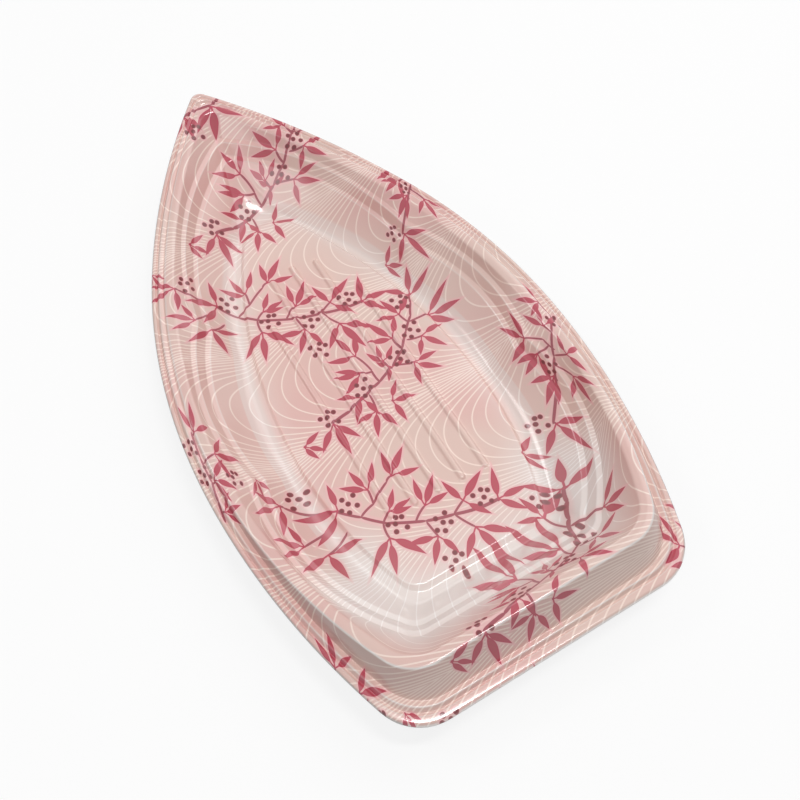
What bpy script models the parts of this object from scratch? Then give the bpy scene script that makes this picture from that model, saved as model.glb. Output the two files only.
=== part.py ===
"""A one-use serving plate in the shape of a boat.

The real plate is drawn from a flat plastic sheet with a printed film bonded to its
top face. Both layers take the same form, so one surface is lofted through lines that
run round the boat, from the flange edge to the floor, and each layer is that surface
given its thickness straight down. A drawn sheet thins on its steep walls in the same
way. Lengths are in metres, with +X to the bow, +Y to port and +Z up. The origin is
under the middle of the plate, on the surface that it stands on.
"""
import math

import bmesh
import bpy
from mathutils import Vector
from mathutils.geometry import delaunay_2d_cdt

# Plan of the flange
LENGTH = 0.250              # transom to bow tip
BEAM = 0.138                # at the widest place
STERN_TAPER = 0.019         # how far each side draws in towards the transom
WIDEST = 0.385              # where the beam is, as a share of the length from the stern
CORNER_RADIUS = 0.0175      # stern corner of the flange
FLOOR_CORNER = 0.008        # stern corner of the floor
TIP_RADIUS = 0.004          # bow tip of the flange
FLOOR_TIP = 0.014           # bow end of the floor

# Bands of the plate from the outside in: widths in plan at the stern, side and bow
EDGE_TURN = (0.0009, 0.0005, 0.0008)
LIP = (0.0020, 0.0007, 0.0012)
GROOVE = (0.0008, 0.0006, 0.0008)
BEAD = (0.0027, 0.0026, 0.0026)
SKIRT = (0.0069, 0.0008, 0.0010)
RIM = (0.0034, 0.0034, 0.0042)
UPPER_WALL = (0.0043, 0.0013, 0.0024)
LEDGE = (0.0011, 0.0012, 0.0012)
LOWER_WALL = (0.0028, 0.0028, 0.0048)
FOOT_WALL = (0.0062, 0.0064, 0.0138)
FOOT_FILLET = (0.0048, 0.0070, 0.0120)
CHANNEL = (0.0026, 0.0025, 0.0038)
FLOOR_STEP = (0.0019, 0.0020, 0.0027)

# Heights over the flange
BOW_RISE = 0.0094           # lift of the bow tip
BOW_RUN = 0.070             # length over which the bow lifts
RIM_STEP = 0.0010           # rim over the flange, amidships and forward
RIM_RISE = 0.0118           # further lift of the rim at the transom
RIM_RUN = 0.097             # length over which the rim lifts towards the transom
EDGE_DROP = 0.0006          # flange edge, turned down
GROOVE_DEPTH = 0.0007
BEAD_HEIGHT = 0.0009

# Depths under the flange, and where the lines of the wall lie in that depth
DEPTH = 0.0175              # foot channel, measured inside
FLOOR_LIFT = 0.0012         # floor over the foot channel
LEDGE_DROP = 0.0006         # fall of each ledge from back to edge
UPPER_STEP = (0.28, 0.170, 0.01)    # shares of the depth at the stern, side and bow
LOWER_STEP = (0.54, 0.415, 0.26)
WALL_FOOT = (0.84, 0.745, 0.72)
FILLET_FOOT = (0.955, 0.925, 0.90)
STERN_BLEND = (0.028, 0.060)        # wall lines pass from stern to side, off the transom
BOW_BLEND = (0.024, 0.078)          # and from bow to side, off the bow tip

# Waves in the wall and ribs in the floor
WAVE = 0.004                # how far each step line swings in where two waves meet
BOW_WAVE = 0.44             # share of the forward side where the bow wave begins
RIB_PITCH = 0.0093
RIB_WIDTH = 0.0024
RIB_CREST = 0.0007
RIB_HEIGHT = 0.0008
RIB_STERN_GAP = 0.0255      # floor edge to the stern end of each rib
RIB_BOW_GAP = 0.024         # bow end of each rib to the floor edge
RIBS_A_SIDE = 2             # besides the one in the middle

# Layers
SHEET = 0.0006
BOND = 0.00005
FILM = 0.00015

# Points along each stretch of a line, on one side of the boat
STERN_STEPS = 4
CORNER_STEPS = 5
AFT_STEPS = 12
FORWARD_STEPS = 20
TIP_STEPS = 3
RIB_END_STEPS = 4

BANDS = (EDGE_TURN, LIP, GROOVE, BEAD, SKIRT, RIM, UPPER_WALL, LEDGE, LOWER_WALL, LEDGE,
         FOOT_WALL, FOOT_FILLET, CHANNEL, FLOOR_STEP)
FLOOR_INSET = [sum(widths) for widths in zip(*BANDS)]
MIDSHIP = LENGTH * WIDEST
QUARTER_RADIUS = (MIDSHIP ** 2 + STERN_TAPER ** 2) / (2.0 * STERN_TAPER)
GROUND = -(DEPTH + FILM + BOND + SHEET)


def smooth(t):
    """Ease from 0 to 1 as t goes from 0 to 1."""
    t = min(max(t, 0.0), 1.0)
    return t * t * (3.0 - 2.0 * t)


def mix(a, b, share):
    return a + (b - a) * share


def sheer(x):
    """Height of the flange: level, then lifting to the bow tip."""
    t = max(0.0, (x - LENGTH + BOW_RUN) / BOW_RUN)
    return BOW_RISE * t * t


def rim(x):
    """Height of the rim: just over the flange, then climbing evenly to the transom."""
    t = 1.0 - x / RIM_RUN
    softness = 0.12
    return sheer(x) + RIM_STEP + RIM_RISE * (t + math.hypot(t, softness)) / 2.0


def wall(shares, drop=0.0):
    """Height of a line in the wall, from shares of the depth at the stern, side and bow."""
    stern, side, bow = shares

    def height(x):
        aft = smooth((STERN_BLEND[1] - x) / (STERN_BLEND[1] - STERN_BLEND[0]))
        fore = smooth((x - LENGTH + BOW_BLEND[1]) / (BOW_BLEND[1] - BOW_BLEND[0]))
        return -DEPTH * (side + (stern - side) * aft + (bow - side) * fore) - drop

    return height


def arc(centre, radius, start, end, steps):
    """Points on an arc after its first one, with angles in radians."""
    turns = [mix(start, end, (i + 1) / steps) for i in range(steps)]
    return [(centre[0] + radius * math.cos(a), centre[1] + radius * math.sin(a)) for a in turns]


class Line:
    """A closed line round the boat: a flat transom, two bowed sides and a rounded tip.

    It is set in from the flange edge by a distance at the stern, the side and the bow.
    Its taper is how much more than the flange edge it draws in towards the transom.
    """

    def __init__(self, inset, taper, height, wave=0.0):
        stern, side, bow = inset
        self.stern = stern
        self.bow = LENGTH - bow
        self.half_beam = BEAM / 2.0 - side
        self.corner = mix(CORNER_RADIUS, FLOOR_CORNER, stern / FLOOR_INSET[0])
        self.tip = mix(TIP_RADIUS, FLOOR_TIP, bow / FLOOR_INSET[2])
        self.height = height
        self.wave = wave * WAVE

        span = MIDSHIP - stern
        narrowing = taper * (QUARTER_RADIUS - math.sqrt(QUARTER_RADIUS ** 2 - span ** 2))
        self.aft_radius = (span ** 2 + narrowing ** 2) / (2.0 * narrowing)
        reach = self.bow - self.tip - MIDSHIP
        b = self.half_beam
        self.bow_radius = (reach ** 2 + b ** 2 - self.tip ** 2) / (2.0 * (b - self.tip))

    def side(self):
        """Port half of the line, from mid-transom to bow tip."""
        aft_centre = (MIDSHIP, self.half_beam - self.aft_radius)
        bow_centre = (MIDSHIP, self.half_beam - self.bow_radius)
        corner_x = self.stern + self.corner
        tip_x = self.bow - self.tip
        corner_run = MIDSHIP - corner_x
        corner_y = aft_centre[1] + math.sqrt((self.aft_radius - self.corner) ** 2 - corner_run ** 2)
        quarter = math.atan2(corner_y - aft_centre[1], -corner_run)
        shoulder = math.atan2(-bow_centre[1], tip_x - MIDSHIP)
        points = [(self.stern, corner_y * i / STERN_STEPS) for i in range(STERN_STEPS + 1)]
        points += arc((corner_x, corner_y), self.corner, math.pi, quarter, CORNER_STEPS)
        points += arc(aft_centre, self.aft_radius, quarter, math.pi / 2.0, AFT_STEPS)
        points += arc(bow_centre, self.bow_radius, math.pi / 2.0, shoulder, FORWARD_STEPS)
        points += arc((tip_x, 0.0), self.tip, shoulder, 0.0, TIP_STEPS)
        return [Vector(p) for p in points]

    def swells(self):
        """1 in the middle of a wave and 0 where two waves meet, for each point of a side."""
        split = round(FORWARD_STEPS * BOW_WAVE)
        waves = [0.0] * (STERN_STEPS + CORNER_STEPS + 1)
        for steps in (AFT_STEPS, split, FORWARD_STEPS - split):
            waves += [4.0 * (i / steps) * (1.0 - i / steps) for i in range(1, steps + 1)]
        return waves + [0.0] * TIP_STEPS

    def loop(self):
        """All the points of the line, round from mid-transom by port to starboard."""
        side = self.side()
        mirrored = [Vector((p.x, -p.y)) for p in side[1:-1]]
        round_port = [mirrored[0]] + side + [mirrored[-1]]
        swung = []
        for i, swell in enumerate(self.swells()):
            along = (round_port[i + 2] - round_port[i]).normalized()
            swung.append(side[i] + Vector((along.y, -along.x)) * self.wave * (1.0 - swell))
        starboard = [Vector((p.x, -p.y)) for p in swung[-2:0:-1]]
        return [Vector((p.x, p.y, self.height(p.x))) for p in swung + starboard]

    def fore_end(self, y):
        """How far forward the line reaches at a distance off the middle."""
        off = abs(y) - self.half_beam + self.bow_radius
        return min(self.bow, MIDSHIP + math.sqrt(self.bow_radius ** 2 - off ** 2))


def boat_lines():
    """The lines of the plate in order, from the flange edge to the edge of the floor."""
    inset = [0.0, 0.0, 0.0]

    def across(band, share=1.0):
        """Step in over a band, or over a share of it, and give the place reached."""
        for i, width in enumerate(band):
            inset[i] += share * width
        return tuple(inset)

    bead_top = 0.42
    rim_top = 0.45
    fillet_middle = 0.58
    return [
        Line((0.0, 0.0, 0.0), 1.0, lambda x: sheer(x) - EDGE_DROP),
        Line(across(EDGE_TURN), 1.0, sheer),
        Line(across(LIP), 1.05, sheer),
        Line(across(GROOVE), 1.08, lambda x: sheer(x) - GROOVE_DEPTH),
        Line(across(BEAD, bead_top), 1.10, lambda x: sheer(x) + BEAD_HEIGHT),
        Line(across(BEAD, 1.0 - bead_top), 1.14, sheer),
        Line(across(SKIRT), 1.45, lambda x: rim(x) - 0.2 * RIM_STEP),
        Line(across(RIM, rim_top), 1.48, rim),
        Line(across(RIM, 1.0 - rim_top), 1.52, lambda x: rim(x) - 0.5 * RIM_STEP),
        Line(across(UPPER_WALL), 1.92, wall(UPPER_STEP), wave=1.0),
        Line(across(LEDGE), 1.95, wall(UPPER_STEP, LEDGE_DROP), wave=1.0),
        Line(across(LOWER_WALL), 1.98, wall(LOWER_STEP), wave=1.0),
        Line(across(LEDGE), 2.0, wall(LOWER_STEP, LEDGE_DROP), wave=1.0),
        Line(across(FOOT_WALL), 2.0, wall(WALL_FOOT), wave=0.5),
        Line(across(FOOT_FILLET, fillet_middle), 1.9, wall(FILLET_FOOT), wave=0.2),
        Line(across(FOOT_FILLET, 1.0 - fillet_middle), 1.82, lambda x: -DEPTH),
        Line(across(CHANNEL), 1.84, lambda x: -DEPTH),
        Line(across(FLOOR_STEP), 1.86, lambda x: FLOOR_LIFT - DEPTH),
    ]


def rib_loop(y, start, end, half_width, height):
    """A round-ended outline along X, at one height."""
    right = math.pi / 2.0
    fore = arc((end, y), half_width, -right, right, RIB_END_STEPS)
    aft = arc((start, y), half_width, right, 3.0 * right, RIB_END_STEPS)
    outline = [(end, y - half_width)] + fore + [(start, y + half_width)] + aft
    return [Vector((px, py, height)) for px, py in outline]


def rib_loops(floor_edge):
    """The foot and the crest of each raised rib."""
    level = FLOOR_LIFT - DEPTH
    loops = []
    for rib in range(-RIBS_A_SIDE, RIBS_A_SIDE + 1):
        y = rib * RIB_PITCH
        start = floor_edge.stern + RIB_STERN_GAP
        end = floor_edge.fore_end(y) - RIB_BOW_GAP
        loops.append(rib_loop(y, start, end, RIB_WIDTH / 2.0, level))
        loops.append(rib_loop(y, start, end, RIB_CREST / 2.0, level + RIB_HEIGHT))
    return loops


def plate_surface():
    """Points and faces of the plate's top, centred in plan and standing on z = 0."""
    lines = boat_lines()
    rows = [line.loop() for line in lines]
    count = len(rows[0])
    points = [p for row in rows for p in row]
    faces = []
    for k in range(len(rows) - 1):
        outer, inner = k * count, (k + 1) * count
        for i in range(count):
            j = (i + 1) % count
            faces.append((outer + j, outer + i, inner + i, inner + j))

    ribs = rib_loops(lines[-1])
    flat, edges = [], []
    for loop in [rows[-1]] + ribs:
        first = len(flat)
        flat += [Vector((p.x, p.y)) / LENGTH for p in loop]
        edges += [(first + i, first + (i + 1) % len(loop)) for i in range(len(loop))]
    base = len(points) - count
    points += [p for loop in ribs for p in loop]
    inside_edges = 1
    nearness = 1e-7
    for face in delaunay_2d_cdt(flat, edges, [], inside_edges, nearness)[2]:
        a, b, c = (flat[i] for i in face)
        clockwise = (b - a).cross(c - a) < 0.0
        faces.append(tuple(base + i for i in (reversed(face) if clockwise else face)))
    return [p - Vector((LENGTH / 2.0, 0.0, GROUND)) for p in points], faces


def layer(name, surface, top, thickness, colour, roughness):
    """One layer of the plate: the surface lowered by top, then drawn down by its thickness."""
    points, faces = surface
    form = bmesh.new()
    corners = [form.verts.new(p - Vector((0.0, 0.0, top))) for p in points]
    skin = [form.faces.new([corners[i] for i in face]) for face in faces]
    drawn = bmesh.ops.extrude_face_region(form, geom=skin, use_keep_orig=True)["geom"]
    under = [v for v in drawn if isinstance(v, bmesh.types.BMVert)]
    bmesh.ops.translate(form, vec=(0.0, 0.0, -thickness), verts=under)
    bmesh.ops.recalc_face_normals(form, faces=form.faces)
    mesh = bpy.data.meshes.new(name)
    form.to_mesh(mesh)
    form.free()
    mesh.shade_smooth()
    mesh.set_sharp_from_angle(angle=math.radians(38.0))
    material = bpy.data.materials.new(name)
    material.use_nodes = True
    shader = material.node_tree.nodes["Principled BSDF"]
    shader.inputs["Base Color"].default_value = (*colour, 1.0)
    shader.inputs["Roughness"].default_value = roughness
    shader.inputs["Metallic"].default_value = 0.0
    mesh.materials.append(material)
    piece = bpy.data.objects.new(name, mesh)
    bpy.context.scene.collection.objects.link(piece)
    return piece


for old in list(bpy.data.objects):
    bpy.data.objects.remove(old, do_unlink=True)

plate = plate_surface()
layer("printed_film", plate, 0.0, FILM, (0.74, 0.53, 0.49), 0.22)
layer("base_sheet", plate, FILM + BOND, SHEET, (0.83, 0.78, 0.74), 0.45)
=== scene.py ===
# %% [markdown]
# # A boat-shaped serving plate
# The plate is one thin plastic sheet, drawn over a mould in the shape of a boat. A printed film is
# bonded to its top face. This lesson loads the plain solids as a fixed frame and dresses them: a finer
# skin with soft edges, a print of leaves and berries over flowing lines, and a plain studio.

# %% Load the frame
import math
from collections import namedtuple

import bmesh
import bpy
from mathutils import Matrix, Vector
from mathutils.geometry import delaunay_2d_cdt


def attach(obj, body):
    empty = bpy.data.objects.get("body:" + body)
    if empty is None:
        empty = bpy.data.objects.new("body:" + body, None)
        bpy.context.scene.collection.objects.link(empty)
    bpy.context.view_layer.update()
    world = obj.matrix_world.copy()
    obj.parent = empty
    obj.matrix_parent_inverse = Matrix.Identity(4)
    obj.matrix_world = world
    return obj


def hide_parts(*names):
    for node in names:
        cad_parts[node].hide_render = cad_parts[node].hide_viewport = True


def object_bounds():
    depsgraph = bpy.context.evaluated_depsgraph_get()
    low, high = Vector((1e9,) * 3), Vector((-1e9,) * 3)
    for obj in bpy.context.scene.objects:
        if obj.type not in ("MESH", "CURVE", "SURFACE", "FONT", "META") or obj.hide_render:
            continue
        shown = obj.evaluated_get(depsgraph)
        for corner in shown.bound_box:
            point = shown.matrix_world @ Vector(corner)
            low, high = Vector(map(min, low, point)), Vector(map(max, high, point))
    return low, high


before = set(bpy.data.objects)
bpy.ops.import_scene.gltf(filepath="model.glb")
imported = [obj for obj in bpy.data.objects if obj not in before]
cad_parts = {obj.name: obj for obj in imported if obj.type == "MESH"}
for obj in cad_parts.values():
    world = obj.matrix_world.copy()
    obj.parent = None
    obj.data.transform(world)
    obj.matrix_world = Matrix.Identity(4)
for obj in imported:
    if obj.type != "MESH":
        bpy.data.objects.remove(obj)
solid_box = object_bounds()
print("solids", [tuple(round(v, 4) for v in corner) for corner in solid_box])

# %% [markdown]
# ## The form of the plate
# The form is a set of closed lines that run round the boat, from the flange edge down to the floor.
# Each line is a flat transom, two bowed sides and a rounded tip, so a few distances describe it. The
# length and the beam come from the solids. All sizes are in millimetres, because a plate is easier to
# think about that way.

# %% Sizes
MM = 0.001
LENGTH, BEAM = (round((high - low) / MM, 2) for low, high in list(zip(*solid_box))[:2])
STERN_TAPER, MIDSHIP = 19.0, 0.385 * LENGTH
CORNER_RADIUS, FLOOR_CORNER = 17.5, 8.0
TIP_RADIUS, FLOOR_TIP = 4.0, 14.0
DEPTH, FLOOR_LIFT = 17.5, 1.2
SHEET, BOND, FILM = 0.6, 0.05, 0.15
GROUND = -(DEPTH + FILM + BOND + SHEET)
WAVE = 4.0              # how far a ledge line swings in
BOW_WAVE = 0.45         # share of the forward side where its second wave begins
QUARTER_RADIUS = (MIDSHIP ** 2 + STERN_TAPER ** 2) / (2.0 * STERN_TAPER)
STEPS = {"stern": 10, "corner": 12, "aft": 40, "forward": 60, "tip": 8}
print("plate", LENGTH, "x", BEAM, "mm")

# %% [markdown]
# Seen from the side, the flange lifts to the bow tip and the rim climbs to the transom. Both are plain
# curves of the distance from the stern, x. The wall lines sink or rise with it too, so each has a
# height for the stern, the side and the bow, and passes easily from one to the next.

# %% Heights along the boat
BOW_RISE, BOW_RUN = 9.4, 70.0
RIM_STEP, RIM_RISE, RIM_RUN, RIM_EASE = 1.0, 11.8, 97.0, 0.12
STERN_BLEND, BOW_BLEND = (60.0, 28.0), (LENGTH - 78.0, LENGTH - 24.0)


def passage(x, start, end):
    """0 at the start, 1 at the end, easy between them and level outside."""
    t = min(max((x - start) / (end - start), 0.0), 1.0)
    return t * t * (3.0 - 2.0 * t)


def mix(a, b, share):
    """The value at a share of the way from a to b."""
    return a + (b - a) * share


def sheer(x):
    """The flange is level and then lifts to the bow tip."""
    return BOW_RISE * max(0.0, (x - LENGTH + BOW_RUN) / BOW_RUN) ** 2


def rim(x):
    """The rim is just over the flange and then climbs to the transom."""
    t = 1.0 - x / RIM_RUN
    return sheer(x) + RIM_STEP + RIM_RISE * (t + math.hypot(t, RIM_EASE)) / 2.0


def by_place(x, stern, side, bow):
    """A value that passes from one at the stern to one at the side and one at the bow."""
    return side + (stern - side) * passage(x, *STERN_BLEND) + (bow - side) * passage(x, *BOW_BLEND)


def wall(stern, side, bow, drop=0.0):
    """A line in the wall, at a share of the depth for the stern, the side and the bow."""
    return lambda x: -DEPTH * by_place(x, stern, side, bow) - drop


def level(z, base=lambda x: 0.0):
    """A line at an even height over another."""
    return lambda x: base(x) + z


print("rim over flange at the stern", round(rim(13.0), 1), "mm")

# %% [markdown]
# The lines are listed as steps inwards. Each has its width at the stern, the side and the bow, how much
# it tapers to the stern, its height, how far its edge is rounded, how much of the wave it takes, and
# how much of the stretch falls on the band outside it. The wave is what makes the scalloped terraces: a
# line swings in where two waves meet.

# %% Lines from the flange edge to the floor
Band = namedtuple("Band", "name widths taper height rounding wave stretch")
UPPER, LOWER, LEDGE_DROP = (0.28, 0.170, 0.01), (0.54, 0.415, 0.26), 0.5
CHANNEL_LEVEL, FLOOR_LEVEL = level(-DEPTH), level(FLOOR_LIFT - DEPTH)
BANDS = [
    Band("flange edge", (0.0, 0.0, 0.0), 1.00, level(-0.6, sheer), 0.0, 0.0, 0.0),
    Band("turned lip", (0.9, 0.5, 0.8), 1.00, sheer, 0.35, 0.0, 0.7),
    Band("lip", (2.0, 0.7, 1.2), 1.05, sheer, 0.22, 0.0, 0.0),
    Band("groove", (0.8, 0.6, 0.8), 1.08, level(-0.7, sheer), 0.3, 0.0, 0.0),
    Band("bead", (1.13, 1.09, 1.09), 1.10, level(0.9, sheer), 0.6, 0.0, 0.0),
    Band("skirt foot", (1.57, 1.51, 1.51), 1.14, sheer, 0.35, 0.0, 0.0),
    Band("rim shoulder", (6.9, 0.8, 1.0), 1.45, level(-0.2, rim), 0.7, 0.0, 0.05),
    Band("rim crown", (1.53, 1.53, 1.89), 1.48, level(-0.12, rim), 0.7, 0.0, 0.0),
    Band("rim inside", (1.87, 1.87, 2.31), 1.52, level(-0.5, rim), 0.7, 0.0, 0.0),
    Band("upper ledge back", (4.3, 1.3, 2.4), 1.92, wall(*UPPER), 0.3, 1.0, 0.45),
    Band("upper ledge edge", (1.6, 1.8, 2.2), 1.95, wall(*UPPER, LEDGE_DROP), 0.45, 1.0, 0.3),
    Band("lower ledge back", (2.3, 2.2, 3.8), 1.98, wall(*LOWER), 0.35, 1.0, 0.5),
    Band("lower ledge edge", (1.6, 1.8, 2.2), 2.00, wall(*LOWER, LEDGE_DROP), 0.5, 1.0, 0.4),
    Band("wall foot", (5.7, 5.8, 12.8), 2.00, wall(0.84, 0.745, 0.72), 2.6, 0.5, 0.7),
    Band("fillet", (2.78, 4.06, 6.96), 1.90, wall(0.955, 0.925, 0.90), 2.6, 0.2, 1.0),
    Band("channel outside", (2.02, 2.94, 5.04), 1.82, CHANNEL_LEVEL, 0.9, 0.0, 1.0),
    Band("channel inside", (2.6, 3.4, 3.8), 1.84, CHANNEL_LEVEL, 0.4, 0.0, 0.8),
    Band("floor edge", (1.9, 1.1, 2.7), 1.86, FLOOR_LEVEL, 0.35, 0.0, 0.6),
    Band("floor margin", (0.8, 0.8, 0.8), 1.86, FLOOR_LEVEL, 0.2, 0.0, 0.0),
    Band("floor inner margin", (2.3, 2.3, 2.3), 1.86, FLOOR_LEVEL, 0.2, 0.0, 0.0),
    Band("floor middle", (2.5, 2.5, 2.5), 1.86, FLOOR_LEVEL, 0.0, 0.0, 0.0),
]
NAMES = [band.name for band in BANDS]
RIM_LINE, FLOOR_LINE = NAMES.index("rim inside"), NAMES.index("floor edge")
FLOOR_INSET = [sum(widths) for widths in zip(*(band.widths for band in BANDS[:FLOOR_LINE + 1]))]
print(len(BANDS), "lines, floor edge", [round(v, 1) for v in FLOOR_INSET], "mm in")

# %% [markdown]
# A line is made from arcs that meet without a corner, so its radii and centres follow from where it has
# to pass. Only the port half is worked out, and the starboard half is its mirror. Every line has as
# many points as the next, so the skin between two lines is a plain strip of faces.

# %% One line, point by point
Shape = namedtuple("Shape", "stern bow half corner tip aft forward")


def arc(centre, radius, start, end, steps):
    """Points along an arc, without its first one."""
    turns = [mix(start, end, (i + 1) / steps) for i in range(steps)]
    return [Vector((centre[0] + radius * math.cos(a), centre[1] + radius * math.sin(a))) for a in turns]


def shape_of(inset, taper):
    """Ends, half beam and radii of a line that is set in from the flange edge."""
    stern, side, bow = inset
    corner = mix(CORNER_RADIUS, FLOOR_CORNER, stern / FLOOR_INSET[0])
    tip = mix(TIP_RADIUS, FLOOR_TIP, bow / FLOOR_INSET[2])
    half, span = BEAM / 2.0 - side, MIDSHIP - stern
    narrowing = taper * (QUARTER_RADIUS - math.sqrt(QUARTER_RADIUS ** 2 - span ** 2))
    aft = (span ** 2 + narrowing ** 2) / (2.0 * narrowing)
    reach = LENGTH - bow - tip - MIDSHIP
    forward = (reach ** 2 + half ** 2 - tip ** 2) / (2.0 * (half - tip))
    return Shape(stern, LENGTH - bow, half, corner, tip, aft, forward)


def port_side(inset, taper):
    """Half a line, from mid-transom to the bow tip."""
    stern, bow, half, corner, tip, aft, forward = shape_of(inset, taper)
    aft_centre, bow_centre = (MIDSHIP, half - aft), (MIDSHIP, half - forward)
    corner_run = MIDSHIP - stern - corner
    corner_y = aft_centre[1] + math.sqrt((aft - corner) ** 2 - corner_run ** 2)
    quarter = math.atan2(corner_y - aft_centre[1], -corner_run)
    shoulder = math.atan2(-bow_centre[1], bow - tip - MIDSHIP)
    points = [Vector((stern, corner_y * i / STEPS["stern"])) for i in range(STEPS["stern"] + 1)]
    points += arc((stern + corner, corner_y), corner, math.pi, quarter, STEPS["corner"])
    points += arc(aft_centre, aft, quarter, math.pi / 2.0, STEPS["aft"])
    points += arc(bow_centre, forward, math.pi / 2.0, shoulder, STEPS["forward"])
    return points + arc((bow - tip, 0.0), tip, shoulder, 0.0, STEPS["tip"])


def swells():
    """1 in the middle of a wave, 0 where two meet."""
    split = round(STEPS["forward"] * BOW_WAVE)
    waves = [0.0] * (STEPS["stern"] + STEPS["corner"] + 1)
    for steps in (STEPS["aft"], split, STEPS["forward"] - split):
        waves += [4.0 * (i / steps) * (1.0 - i / steps) for i in range(1, steps + 1)]
    return waves + [0.0] * STEPS["tip"]


def whole_line(inset, taper, height, wave):
    """The closed line in space, round from mid-transom by port to starboard."""
    side = port_side(inset, taper)
    beyond = [Vector((side[1].x, -side[1].y))] + side + [Vector((side[-2].x, -side[-2].y))]
    swung = []
    for i, swell in enumerate(swells()):
        along = (beyond[i + 2] - beyond[i]).normalized()
        swung.append(side[i] + Vector((along.y, -along.x)) * wave * WAVE * (1.0 - swell))
    starboard = [Vector((p.x, -p.y)) for p in swung[-2:0:-1]]
    return [Vector((p.x, p.y, height(p.x))) for p in swung + starboard]


lines, inset = [], [0.0, 0.0, 0.0]
for band in BANDS:
    inset = [a + b for a, b in zip(inset, band.widths)]
    lines.append(whole_line(inset, band.taper, band.height, band.wave))
print(len(lines[0]), "points in each line")

# %% [markdown]
# A drawn sheet has no sharp edges. Going inwards across the lines, each bend is cut off at a short
# distance on both sides and replaced by a curve through the cut. A bevel would do the same, but it
# can't follow a different radius for each line, and it leaves uneven faces where the bands narrow
# towards the bow.

# %% Rounded section through the wall
BEND_STEPS = 4
CUT_LIMIT = 0.46        # most of a band that one of its bends may take


def rounded(points, roundings):
    """A section with each bend turned into a short curve of BEND_STEPS + 1 points."""
    section = [points[0]]
    for before, bend, after, cut in zip(points, points[1:], points[2:], roundings[1:]):
        back, on = before - bend, after - bend
        start = bend + back.normalized() * min(cut, CUT_LIMIT * back.length)
        end = bend + on.normalized() * min(cut, CUT_LIMIT * on.length)
        for i in range(BEND_STEPS + 1):
            t = i / BEND_STEPS
            section.append(start * (1.0 - t) ** 2 + bend * 2.0 * t * (1.0 - t) + end * t * t)
    return section + [points[-1]]


roundings = [band.rounding for band in BANDS]
sections = [rounded(column, roundings) for column in zip(*lines)]
print(len(sections), "sections of", len(sections[0]), "points")

# %% [markdown]
# The print was made while the sheet was flat. When the sheet is drawn into the mould, the walls
# stretch, while the rim and the floor stay where they were. The steep wall under the transom sticks to
# the mould first, so there the whole stretch falls on the gentle slope below it. At the bow the sheet
# slips in a little. So each point also gets its place on the flat sheet. The stretch of a wall has to
# make up the difference between its length and its width from above, which gives the one unknown.

# %% Place of each point on the flat sheet
SLIP, SLIP_LIMIT = 5.0, 0.9                     # mm at the bow, and the most of the stretch it takes up
STUCK, SLIPPED = (58.0, 18.0), (140.0, 190.0)   # mm from the stern where each begins and is full


def band_of_steps():
    """For each step along a section, the share of the stretch that it takes, and the line inside it."""
    shares, inner = [], []
    for line in range(1, len(BANDS)):
        if line > 1:
            shares += [(BANDS[line - 1].stretch + BANDS[line].stretch) / 2.0] * BEND_STEPS
            inner += [line] * BEND_STEPS
        shares.append(BANDS[line].stretch)
        inner.append(line)
    return shares, inner


def flat_section(section, shares, inner):
    """(x, y) of each point on the flat sheet, worked out from the floor outwards."""
    stuck, slipped = passage(section[0].x, *STUCK), passage(section[0].x, *SLIPPED)
    on_slope = lambda line: 1.0 if RIM_LINE + 1 < line <= FLOOR_LINE else 0.0
    shares = [mix(share, on_slope(line), stuck) if line > RIM_LINE else share
              for share, line in zip(shares, inner)]
    runs = [b - a for a, b in zip(section, section[1:])]
    inside = [k for k, line in enumerate(inner) if line > RIM_LINE]
    excess = sum(runs[k].length - runs[k].xy.length for k in inside)
    excess -= min(SLIP * slipped, SLIP_LIMIT * excess)
    unknown = excess / sum(shares[k] * runs[k].length for k in inside)
    outward = (section[inside[0]] - section[-1]).xy.normalized()
    gain, flat = 0.0, [tuple(section[-1].xy)]
    for k in reversed(range(len(runs))):
        kept = 1.0 - (unknown if inner[k] > RIM_LINE else 1.0) * shares[k]
        if inner[k] > RIM_LINE or NAMES[inner[k]] == "rim shoulder":
            gain += kept * runs[k].length - runs[k].xy.length
        flat.append(tuple(section[k].xy + outward * gain))
    return flat[::-1]


step_shares, step_lines = band_of_steps()
flat_sections = [flat_section(section, step_shares, step_lines) for section in sections]
print("transom comes from", round(flat_sections[0][0][0], 1), "to", round(flat_sections[0][-1][0], 1), "mm")

# %% [markdown]
# Where the sheet is drawn thin, the ink thins with it and the ground turns pale: in the fillet and
# channel round the floor, and most of all on the slope at the stern. That paleness is also painted
# sheen: it stands for the glossy glare on those slopes. Sharp outward bends and the flange edge whiten
# too, but only along the bend itself: partly the whitening of bent plastic, partly a painted highlight
# along the edge. Each line gets a paleness for the stern, the side and the bow. Up to 1 the ground
# pales, and past that it whitens.

# %% Paleness of each point
UNSTRETCHED = (0.0, 0.0, 0.0)
# Paleness of each line: thin ink with painted sheen on the stern slope and round the floor. Past 1, at the
# flange edge, bent plastic with a painted highlight.
PALE = {
    "flange edge": (1.7, 1.7, 1.7),
    "upper ledge back": (0.85, 0.0, 0.0), "upper ledge edge": (0.95, 0.0, 0.0),
    "lower ledge back": (1.0, 0.0, 0.0), "lower ledge edge": (1.0, 0.05, 0.0),
    "wall foot": (1.0, 0.1, 0.05), "fillet": (1.0, 0.5, 0.45),
    "channel outside": (1.0, 0.65, 0.65), "channel inside": (1.0, 0.25, 0.55),
    "floor edge": (0.9, 0.05, 0.35), "floor margin": (0.75, 0.2, 0.35),
    "floor inner margin": (0.6, 0.12, 0.25), "floor middle": (0.42, 0.05, 0.15),
}
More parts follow.
